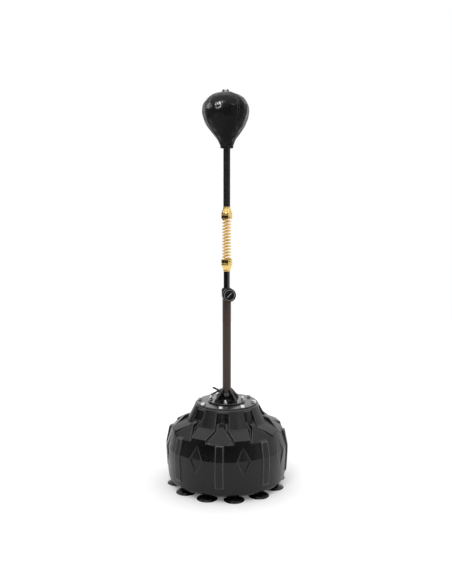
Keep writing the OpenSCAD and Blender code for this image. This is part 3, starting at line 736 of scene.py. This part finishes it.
def cut(made, *tools):
    """Cuts forms in millimetres, each a (points, faces) pair, out of a piece."""
    for points, faces in tools:
        tool = bpy.data.objects.new("tool", clean_mesh("tool", points, faces))
        scene.collection.objects.link(tool)
        modifier = made.modifiers.new("cut", "BOOLEAN")
        modifier.operation, modifier.object, modifier.solver = "DIFFERENCE", tool, "EXACT"
        bpy.context.view_layer.update()
        result = bpy.data.meshes.new_from_object(made.evaluated_get(bpy.context.evaluated_depsgraph_get()))
        made.modifiers.clear()
        made.data = result
        bpy.data.objects.remove(tool)
    smooth(made.data, 35)


def rod(radius, start, end, turn, height):
    """Round bar that runs out from the pole, to cut a hole with."""
    bar = lathe([(0, start), (radius, start, 0), (radius, end, 0), (0, end)], 48, 0, closed=False)
    return placed(bar, outward(turn, height))


# ---- Pole ----

def plain_tube(name, node, bore, sides=128, lip=0.6):
    foot, top, outer = extent(node)
    return piece(name, *lathe(tube_outline(outer, bore, foot, top), sides, lip), node=node)


def pole_tubes():
    plain_tube("inner_tube_gloss", "inner_tube", 11)
    plain_tube("upper_tube_gloss", "upper_tube", 11)
    knob_hole = rod(6.3, 5, 40, KNOB_TURN, KNOB_Z)
    cut(plain_tube("lower_tube_twill", "lower_tube", 15.25, 160), knob_hole)
    foot, top, rim = extent("clamp_collar")
    outline = [(17.27, foot, 0.4), (rim - 0.8, foot, 0.6), (rim - 0.8, foot + 3.2, 0.3), (rim, foot + 4, 0.4),
               (rim, top - 6, 0.4), (rim - 0.9, top - 5.2, 0.4), (rim - 0.9, top - 4, 0.4),
               (rim, top - 3.2, 0.4), (rim, top - 1.8, 1.2), (rim - 1.6, top, 1.0), (17.27, top, 0.4)]
    cut(piece("clamp_collar_moulding", *lathe(outline, 144), node="clamp_collar"), knob_hole)


def sleeve():
    """Shrunk grip sleeve with a fine diamond emboss and rolled ends."""
    foot, top, outer = extent("pole_sleeve")
    heights = np.linspace(foot + 3, top - 3, 330)
    outline = [(12.52, foot, 0.3), (outer - 0.1, foot, 1.0)] + [(outer - 0.25, z, 0) for z in heights]
    outline += [(outer - 0.1, top, 1.0), (12.52, top, 0.3)]

    def emboss(r, z, turn):
        diamonds = np.sin(15 * turn + 0.95 * z) * np.sin(15 * turn - 0.95 * z)
        fade = np.clip((z - foot - 3) / 2, 0, 1) * np.clip((top - 3 - z) / 2, 0, 1)
        slack = 0.10 * np.sin(0.11 * z + 1.3) * np.sin(turn + 0.03 * z)
        return r + np.where(r > outer - 0.5, fade * (0.17 * np.clip(diamonds, -0.4, 0.8) + slack), 0), z

    piece("grip_sleeve", *lathe(outline, 150, 0.6, wave=emboss), node="pole_sleeve", sharp=60)


def collars():
    """Two turned collars, each a cup for the spring with a groove round it and three grub screws."""
    lower_end, _, rim = extent("lower_collar")
    upper_end = extent("upper_collar")[1]
    pocket = rim - 3.15
    outline = [(0, 33), (12.52, 33), (12.52, 0, 0.3), (13.6, 0, 0.4), (14.4, 3, 1), (14.4, 6, 1.5),
               (rim - 1.2, 23, 2), (rim, 25, 0.8), (rim, 29, 0.4), (rim - 0.8, 30, 0.4), (rim - 0.8, 32, 0.4),
               (rim, 33, 0.4), (rim, 47, 0.7), (rim - 1, 48, 0.5), (pocket, 48, 0.4), (pocket, 35), (0, 35)]
    form = lathe(outline, 144, 0.3, closed=False, steps=5)
    holes = [rod(3, pocket - 3, rim + 6, turn, 41) for turn in (30, 150, 270)]
    for end, base, way in (("lower", lower_end, 1), ("upper", upper_end, -1)):
        place = Matrix.Translation((0, 0, base)) @ Matrix.Diagonal((1, 1, way, 1))
        made = piece(f"{end}_collar_turned", *placed(form, place), node=f"{end}_collar", sharp=40)
        cut(made, *[placed(hole, place) for hole in holes])


def springs():
    """The coil in two halves, each swept along half of the helix and left unattached to any body."""
    foot, top, outer = extent("spring")
    turns, wire = 14.5, 3.0
    radius = outer - wire
    low_z, high_z = foot + wire, top - wire
    halves = (("spring_lower", 0.0, 0.5, "inner_pole", "spring", "spring_bend_forward"),
              ("spring_upper", 0.5, 1.0, "spring", "ball_pole", "spring_bend_sideways"))
    for name, first, last, lower_body, upper_body, joint in halves:
        t = np.linspace(first, last, int(turns * 26) + 1)
        turn = -2 * math.pi * turns * t
        path = np.column_stack([radius * np.cos(turn), radius * np.sin(turn), low_z + (high_z - low_z) * t])
        made = piece(name, *swept(path, wire, 18), node="spring", body="blended", sharp=60)
        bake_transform(made)


# ---- Clamp knob and wing bolt ----

def knob():
    place = metres(outward(KNOB_TURN, KNOB_Z))
    outline = [(5.05, 33, 0.4), (12, 33, 1.2), (12.4, 38.6, 1.2), (24, 39.6, 1.5), (26.6, 41.4, 1.2),
               (27, 43.5, 1), (27, 55.2, 2.0), (24.6, 57.9, 1.4), (22.7, 58, 0.6), (22.0, 56.2, 0.5),
               (21.7, 53.2, 0.4), (14.2, 53.2, 0.4), (13.6, 51.2, 0.4), (5.05, 51.2, 0.3)]

    def scallops(r, z, turn):
        grip = np.clip(np.cos(16 * turn), 0, 1) ** 2
        return r - 1.25 * grip * np.clip((r - 24.5) / 2.0, 0, 1) * np.clip((60 - z) / 3, 0, 1), z

    piece("knob_moulding", *lathe(outline, 256, 0.8, steps=5, wave=scallops), node="knob_body", place=place)
    rim = [(19.6, 53.3, 0.2), (21.5, 53.3, 0.2), (21.5, 56.0, 0.5), (20.6, 56.6, 0.4), (19.6, 56.0, 0.5)]
    piece("knob_ring_bright", *lathe(rim, 144, 0.4), node="knob_ring", place=place)
    face = [(13.9, 53.3, 0.2), (19.5, 53.3, 0.2), (19.5, 55.4, 0.3), (17.6, 55.7, 0.8), (14.6, 55.2, 0.6),
            (13.9, 54.6, 0.3)]
    dark = {"material": "knob_plastic", "body": "clamp_knob"}
    piece("knob_ring_dark", *lathe(face, 144, 0.4), place=place, **dark)
    dish = [(0, 51.25), (13.5, 51.25, 0.3), (13.5, 54.6, 0.4), (12.2, 55.0, 0.6), (0, 53.6)]
    piece("knob_cap_dark", *lathe(dish, 96, 0.4, closed=False), place=place, **dark)
    bar = slab([(-13, -1.5), (13, -1.5), (13, 1.5), (-13, 1.5)], 2.8, 0.9, 1.4)
    tilt = Matrix.Translation((0, 0, 55.0)) @ Matrix.Rotation(math.radians(47), 4, "Z")
    piece("knob_bridge_bright", *placed(bar, tilt), node="knob_bridge", place=place)


def wing_bolt():
    """Screw with a coned hub and two forged wings."""
    stem = threaded(3.98, 20.6, 30.6, 31.2)
    hub = lathe([(0, 31), (7.5, 31, 0.5), (7.6, 33, 0.6), (6.1, 40.4, 1.6), (3, 41.4, 1.5), (0, 41.4)], 72, 1,
                closed=False)
    outline = [(2.2, 32.6, 1), (7.0, 34, 3), (12.6, 43.2, 8), (17.9, 51.6, 4), (17.0, 57.6, 4.5),
               (11.0, 57.8, 4.5), (7.6, 49.6, 8), (2.2, 41, 3)]
    wing = placed(slab(outline, 4.4, 1.7, 2), Matrix.Rotation(math.pi / 2, 4, "X"))
    whole = joined([stem, hub] + [placed(wing, spin(side)) for side in (0, 180)])
    piece("wing_bolt_forged", *placed(whole, spin(WING_REST)), node="wing_bolt",
          place=metres(outward(-90, WING_Z)))


# ---- Ball ----

def flow(points, count):
    """Smooth line through points (Catmull-Rom), at even steps."""
    points = np.asarray(points, float)
    ends = np.vstack([2 * points[0] - points[1], points, 2 * points[-1] - points[-2]])
    line = []
    for a, b, c, d in zip(ends, ends[1:], ends[2:], ends[3:]):
        for t in np.linspace(0, 1, 24, endpoint=False):
            line.append(0.5 * (2 * b + (c - a) * t + (2 * a - 5 * b + 4 * c - d) * t ** 2
                               + (3 * b - a - 3 * c + d) * t ** 3))
    line = np.array(line + [points[-1]])
    run = np.concatenate([[0], np.cumsum(np.linalg.norm(np.diff(line, axis=0), axis=1))])
    even = np.linspace(0, run[-1], count)
    return np.column_stack([np.interp(even, run, line[:, k]) for k in (0, 1)])


def ripples(points, wavelength, count, seed):
    """Smooth seeded field of about unit height over points, from crossing waves."""
    random = np.random.default_rng(seed)
    field = np.zeros(points.shape[:-1])
    for _ in range(count):
        way = random.normal(size=3)
        way *= 2 * math.pi / wavelength * random.uniform(0.7, 1.4) / np.linalg.norm(way)
        field += np.cos(points @ way + random.uniform(0, 2 * math.pi))
    return field / math.sqrt(count / 2)


def ball_skin(turn, r, z, run):
    """How far the leather stands out from its plain turned form, in millimetres."""
    step = 2 * math.pi / PANELS
    off = (turn - math.radians(SEAM_FIRST) + step / 2) % step - step / 2
    away = np.abs(off) * r
    points = np.stack([r * np.sin(turn), -r * np.cos(turn), z], axis=-1)
    high = z - NECK_Z
    crown = np.clip((BALL_TOP - z) / 6, 0, 1)
    lift = -1.3 * np.exp(-(away / 1.2) ** 2) + 0.55 * np.exp(-((away - 4.0) / 2.2) ** 2)
    lift -= 0.016 * r * np.exp(-(off / 0.30) ** 2)
    pucker = np.sin(2 * math.pi * run / 8.5 + 1.5 * ripples(points, 40, 6, 3))
    lift += 0.38 * pucker * np.exp(-((away - 4) / 4.5) ** 2)
    soft = ripples(points, 34, 14, 11)
    fine = ripples(points * np.array([1, 1, 0.6]), 11, 18, 7)
    creased = np.clip(ripples(points, 60, 8, 5) + 0.5, 0, 1.5)
    lift += 0.42 * soft + 0.13 * fine * creased * crown
    gather = np.clip(1 - (high - 2) / 46, 0, 1) ** 1.6
    folds = np.cos(19 * turn + 0.8 * np.sin(3 * turn + 1)) + 0.5 * np.cos(31 * turn + 2)
    lift += 1.25 * gather * folds
    tie = np.exp(-((high - TIE_RISE) / 2.6) ** 2)
    return lift * np.clip((r - 6) / 14, 0, 1) - 1.1 * tie


def leaning(part):
    """Moves a part of the ball a little to the left with height, as the ball hangs on its neck."""
    points, faces = part
    rise = np.clip((points[..., 2] - NECK_Z - 12) / 110, 0, 1)
    moved = points.copy()
    moved[..., 0] -= 4.5 * rise * rise * (3 - 2 * rise)
    return moved, faces


def ball_profile():
    """Outside of the cover as [radius, height] from the frill of the neck up to the crown."""
    over_neck = [(24.6, 0.2), (24.3, 3), (24.2, 7), (26.6, 13), (33, 26), (43.6, 42), (56.2, 57.5),
                 (68.2, 73), (77.6, 89), (84.6, 104), (89.2, 120), (91.6, 134), (92.0, 147), (89.8, 161),
                 (82.4, 176), (70.4, 190), (52.6, 202.4), (33, 209.6)]
    return [(r, NECK_Z + height) for r, height in over_neck] + [(15, BALL_TOP - 2.8), (4.2, BALL_TOP - 2)]


def ball():
    columns, rows = 288, 250
    turn = np.arange(columns) * 2 * math.pi / columns + math.radians(SEAM_FIRST)
    line = flow(ball_profile(), rows)
    run = np.concatenate([[0], np.cumsum(np.linalg.norm(np.diff(line, axis=0), axis=1))])
    slope = np.gradient(line, axis=0)
    slope /= np.linalg.norm(slope, axis=1)[:, None]
    normal = np.column_stack([slope[:, 1], -slope[:, 0]])
    r, around = np.meshgrid(line[:, 0], turn, indexing="ij")
    z, _ = np.meshgrid(line[:, 1], turn, indexing="ij")
    lift = ball_skin(around, r, z, np.repeat(run[:, None], columns, axis=1))
    r2, z2 = r + lift * normal[:, :1], z + lift * normal[:, 1:]
    frill = np.clip(1 - (z - NECK_Z) / 5, 0, 1)
    z2 += 0.9 * frill * np.cos(19 * around + 0.8 * np.sin(3 * around + 1) + 0.9)
    lining = [(p - 2.4, q) for p, q in ball_profile()[4:-2]]
    inner = flow([(17.8, NECK_Z + 1.2)] + lining + [(4.2, BALL_TOP - 4.4)], 60)
    inner = np.vstack([[(22.8, NECK_Z + 0.4)], inner])[::-1]
    r2 = np.vstack([r2, np.repeat(inner[:, :1], columns, axis=1)])
    z2 = np.vstack([z2, np.repeat(inner[:, 1:], columns, axis=1)])
    points = np.stack([r2 * np.sin(turn), -r2 * np.cos(turn), z2], axis=-1)
    made = piece("ball_leather", *leaning((points, grid_faces(len(points), columns, close_rows=True))),
                 node="ball_cover", sharp=75)

    stitch = lathe([(0, -1.25), (0.34, -1.1, 0.2), (0.46, -0.5, 0.3), (0.46, 0.5, 0.3), (0.34, 1.1, 0.2),
                    (0, 1.25)], 8, 0.3, closed=False, steps=2)
    parts = []
    for panel in range(PANELS):
        for side in (-1, 1):
            for at in np.arange(26, run[-1] - 12, 3.5):
                radius, height = (float(np.interp(at, run, line[:, k])) for k in (0, 1))
                angle = math.radians(SEAM_FIRST) + panel * 2 * math.pi / PANELS + side * 3.1 / radius
                along = Vector([float(np.interp(at, run, slope[:, k])) for k in (0, 1)])
                lift = float(ball_skin(*(np.array([v]) for v in (angle, radius, height, at)))[0])
                radius, height = radius + (lift + 0.12) * along[1], height - (lift + 0.12) * along[0]
                lean = Matrix.Rotation(-math.atan2(along[0], along[1]), 4, "X")
                spot = Matrix.Translation((0, -radius, height))
                parts.append(placed(stitch, spin(math.degrees(angle)) @ spot @ lean.inverted()))
    piece("ball_stitches", *leaning(joined(parts)), material="lace_cord", body=body_of["ball_cover"])

    t = np.linspace(0, 6 * math.pi, 240)
    wrap = np.column_stack([25.0 * np.sin(t), -25.0 * np.cos(t), NECK_Z + TIE_RISE - 2 + 4 * t / t[-1]])
    wrap[:, :2] *= (1 + 0.012 * np.sin(19 * t))[:, None]
    piece("neck_cord", *swept(wrap, 0.95, 10), material="lace_cord", body=body_of["ball_cover"])


def crown():
    """Round leather patch on the crown, two eyelets, and the lace knotted over them."""
    patch = lathe([(4.4, BALL_TOP - 4.0), (19, BALL_TOP - 5.2, 0.5), (19.6, BALL_TOP - 3.4, 0.6),
                   (18.4, BALL_TOP - 2.0, 0.8), (16.6, BALL_TOP - 2.15, 0.3), (15.9, BALL_TOP - 1.8, 0.3),
                   (6, BALL_TOP - 0.2, 0.5), (4.4, BALL_TOP - 0.3, 0.4)], 144, 0.5)
    piece("crown_patch", *leaning(patch), material="ball_leather", body=body_of["ball_cover"])
    t = np.linspace(0, 2 * math.pi, 120, endpoint=False)
    trefoil = np.column_stack([np.sin(t) + 2 * np.sin(2 * t), np.cos(t) - 2 * np.cos(2 * t), -np.sin(3 * t)])
    parts = []
    for side, twist in ((-1, 20), (1, -35)):
        knot = swept(trefoil * np.array([1.35, 1.35, 1.5]), 1.35, 12, closed=True)
        lean = Matrix.Rotation(math.radians(28 * side), 4, "Y") @ spin(twist)
        parts.append(placed(knot, Matrix.Translation((8.2 * side, 0, BALL_TOP + 4.6)) @ lean))
        eyelet = lathe([(2.2, 0), (4.2, 0, 0.3), (4.2, 0.8, 0.5), (3.2, 1.3, 0.4), (2.2, 0.8, 0.4)], 48, 0.3)
        parts.append(placed(eyelet, Matrix.Translation((8.2 * side, 0, BALL_TOP - 0.6))))
    for offset in (-1.6, 1.6):
        s = np.linspace(-1, 1, 30)
        bar = np.column_stack([8.5 * s, offset + 0.6 * np.sin(4 * s), BALL_TOP + 3.2 + 1.2 * (1 - s ** 2)])
        parts.append(swept(bar, 1.25, 12))
    piece("ball_lace_knots", *leaning(joined(parts)), node="ball_lace")


def bladder():
    """Latex bladder and its valve, which follow the cover's lean."""
    shape = [(p, q) for p, q in ball_profile()[5:-2]]
    outer = [(0, NECK_Z + 50)] + [(p - 5.2, q + (1 if q < NECK_Z + 60 else -1.5)) for p, q in shape]
    outer += [(12, BALL_TOP - 9.0), (4.1, BALL_TOP - 8.6)]
    skin = flow(outer, 90)
    inside = np.column_stack([np.maximum(skin[:, 0] - 1.5, 0), skin[:, 1]])
    inside[:, 1] += np.where(inside[:, 1] < NECK_Z + 70, 1.5, -1.0)
    line = np.vstack([skin, inside[::-1]])
    latex = lathe([(r, z, 0) for r, z in line], 128, 0, closed=False)
    piece("ball_bladder_latex", *leaning(latex), node="ball_bladder")
    stem = lathe([(0, BALL_TOP - 26), (7, BALL_TOP - 26, 0.8), (7, BALL_TOP - 23, 0.8),
                  (3.9, BALL_TOP - 22, 0.8), (3.9, BALL_TOP - 3.0, 0.8), (0, BALL_TOP - 3.2)],
                 48, 0.5, closed=False)
    piece("ball_valve_stem", *leaning(stem), node="ball_valve")


def ferrule():
    foot, top, _ = extent("neck_ferrule")
    outline = [(13.76, foot, 0.4), (22, foot, 1.2), (22, foot + 2.85, 0.5), (17.25, foot + 2.85, 0.3),
               (17.25, top, 0.8), (13.76, top, 0.4)]
    piece("neck_ferrule_moulding", *lathe(outline, 128), node="neck_ferrule")


def fill_cap():
    """Screw cap with grip ribs round it and a raised bar across the top."""
    low, high = size_of("fill_cap")
    centre = (low + high) / 2
    rim = (high.x - low.x) / 2
    outline = [(0, low.z + 11.6), (21.5, low.z + 11.6, 0.5), (21.5, low.z, 0.3), (rim, low.z, 0.6),
               (rim, high.z - 3, 1.6), (rim - 1.8, high.z - 0.1, 1.2), (17.6, high.z - 0.1, 0.5),
               (16.8, high.z - 2.4, 0.6), (0, high.z - 2.4)]

    def grips(r, z, turn):
        groove = np.clip(np.cos(24 * turn), 0, 1) ** 2
        return r - 1.1 * groove * np.clip((r - 22.4) / 2, 0, 1) * np.clip((high.z - z) / 3, 0, 1), z

    cap = lathe(outline, 288, 0.6, closed=False, wave=grips)
    bar = placed(slab([(-17, -4), (17, -4), (17, 4), (-17, 4)], 4.6, 0.9, 1.5),
                 Matrix.Translation((0, 0, high.z - 2.4)))
    place = Matrix.Translation((centre.x, centre.y, 0)) @ spin(PORT_TURN)
    piece("fill_cap_moulding", *placed(joined([cap, bar]), place), node="fill_cap")


base_shell()
suction_cups()
flange_parts()
socket_parts()
pole_tubes()
sleeve()
collars()
springs()
knob()
wing_bolt()
ball()
crown()
ferrule()
bladder()
fill_cap()


# ---- Finishes of the CAD nodes that stay ----

for name, node in nodes.items():
    node.data.materials.clear()
    node.data.materials.append(finishes[slot_of[name]])
    if not node.hide_render:
        edge = node.modifiers.new("edge", "BEVEL")
        edge.width, edge.segments, edge.limit_method = 0.0003, 2, "ANGLE"
        edge.angle_limit = math.radians(40)


# ---- Studio ----

# Softboxes of the world: angle from the camera's side, height, half width and half height in degrees, power
SOFTBOXES = ((-22, 54, 17, 6, 4.0), (-24, 31, 7, 5, 2.5), (-94, 22, 6, 6, 2.0), (48, 30, 6, 6, 1.2))
# Lights that only the ball's leather gets, as the photo's windows: place, width, height and power
WINDOWS = {"window": ((-0.35, -0.47, 1.87), 0.20, 0.38, 20.0),
           "window_left": ((-0.56, 0.02, 1.68), 0.12, 0.13, 0.9),
           "window_right": ((0.43, -0.42, 1.83), 0.08, 0.18, 0.8),
           "strip_left": ((-0.50, 0.34, 1.50), 0.15, 1.10, 1.3),
           "strip_right": ((0.50, 0.34, 1.50), 0.20, 1.10, 1.8)}


def studio_world():
    """Bright room with a dark side towards the camera and a few softboxes. The camera sees plain white."""
    world = bpy.data.worlds.new("studio")
    scene.world = world
    world.use_nodes = True
    world.node_tree.nodes.clear()
    look = Shader(world.node_tree)
    add, plug, calc, fade = look.node, look.plug, look.math, look.ramp
    x, y, z = look.parts_of(add("ShaderNodeTexCoord").outputs["Generated"])
    up = calc("MULTIPLY", calc("ARCSINE", z), 180 / math.pi)
    around = calc("MULTIPLY", calc("ARCTAN2", x, calc("MULTIPLY", y, -1.0)), 180 / math.pi)

    def box(centre, height, half_width, half_height, soft=4.0):
        across = calc("ABSOLUTE", calc("SUBTRACT", around, centre))
        above = calc("ABSOLUTE", calc("SUBTRACT", up, height))
        return calc("MULTIPLY", fade(across, half_width + soft, half_width),
                    fade(above, half_height + soft, half_height))

    edge = calc("MULTIPLY_ADD", fade(up, 3, 8), 38, 28)
    dark_side = calc("MULTIPLY", fade(around, calc("ADD", edge, 12), edge), fade(around, -150, -134))
    dark = calc("MULTIPLY", dark_side, fade(up, 33, 25))
    level = calc("MULTIPLY_ADD", fade(up, 38, 75), 0.5, 0.92)
    level = calc("MULTIPLY", level, calc("MULTIPLY_ADD", dark, -0.965, 1.0))
    for *shape, power in SOFTBOXES:
        level = calc("MULTIPLY_ADD", box(*shape), power, level)
    lit, plain = add("ShaderNodeBackground"), add("ShaderNodeBackground")
    for background, strength in ((lit, level), (plain, 1.0)):
        plug(background.inputs["Color"], (1, 1, 1, 1))
        plug(background.inputs["Strength"], strength)
    both = add("ShaderNodeMixShader")
    for socket, value in zip(both.inputs, (add("ShaderNodeLightPath").outputs["Is Camera Ray"],
                                           lit.outputs[0], plain.outputs[0])):
        plug(socket, value)
    plug(add("ShaderNodeOutputWorld").inputs[0], both.outputs[0])


def studio_floor():
    """Pale floor, lifted a little towards white for the camera alone."""
    look = Finish("floor_white", (0.86, 0.86, 0.86), 0.9, Specular_IOR_Level=0.1)
    look.set("Base Color", look.mix(look.noise(1.5, 2), (0.93, 0.93, 0.93), (0.95, 0.95, 0.95)))
    seen = look.node("ShaderNodeLightPath").outputs["Is Camera Ray"]
    look.set("Emission Color", (1, 1, 1, 1))
    look.set("Emission Strength", look.math("MULTIPLY", seen, 0.12))
    mesh = bpy.data.meshes.new("floor")
    half = 4.0
    corners = [(-half, -half, 0), (half, -half, 0), (half, half, 0), (-half, half, 0)]
    mesh.from_pydata(corners, [], [(0, 1, 2, 3)])
    mesh.materials.append(look.material)
    floor = bpy.data.objects.new("floor", mesh)
    scene.collection.objects.link(floor)


def leather_lights():
    """The windows' soft reflections on the ball, which the rest of the stand doesn't get."""
    leather_only = bpy.data.collections.new("leather_only")
    for made in scene.objects:
        if made.name.startswith(("ball_leather", "ball_stitches", "crown_patch")):
            leather_only.objects.link(made)
    for name, (place, width, height, power) in WINDOWS.items():
        data = bpy.data.lights.new(name, "AREA")
        data.shape, data.size, data.size_y, data.energy = "RECTANGLE", width, height, power
        lamp = bpy.data.objects.new(name, data)
        lamp.location = place
        aim = Vector((0, 0, (NECK_Z + 150) * MM)) - Vector(place)
        lamp.rotation_euler = aim.to_track_quat("-Z", "Y").to_euler()
        lamp.light_linking.receiver_collection = leather_only
        lamp.visible_camera = False
        scene.collection.objects.link(lamp)


def camera():
    """Camera in front of the stand, looking a little down."""
    place, dip, lens = (-0.003, -2.867, 1.143), 7.1, 44.32
    made = bpy.data.objects.new("camera", bpy.data.cameras.new("camera"))
    scene.collection.objects.link(made)
    made.location = place
    made.rotation_euler = (math.radians(90 - dip), 0, 0)
    made.data.lens, made.data.sensor_width = lens, 36
    scene.camera = made


studio_world()
studio_floor()
leather_lights()
camera()
scene.view_settings.view_transform = "Standard"
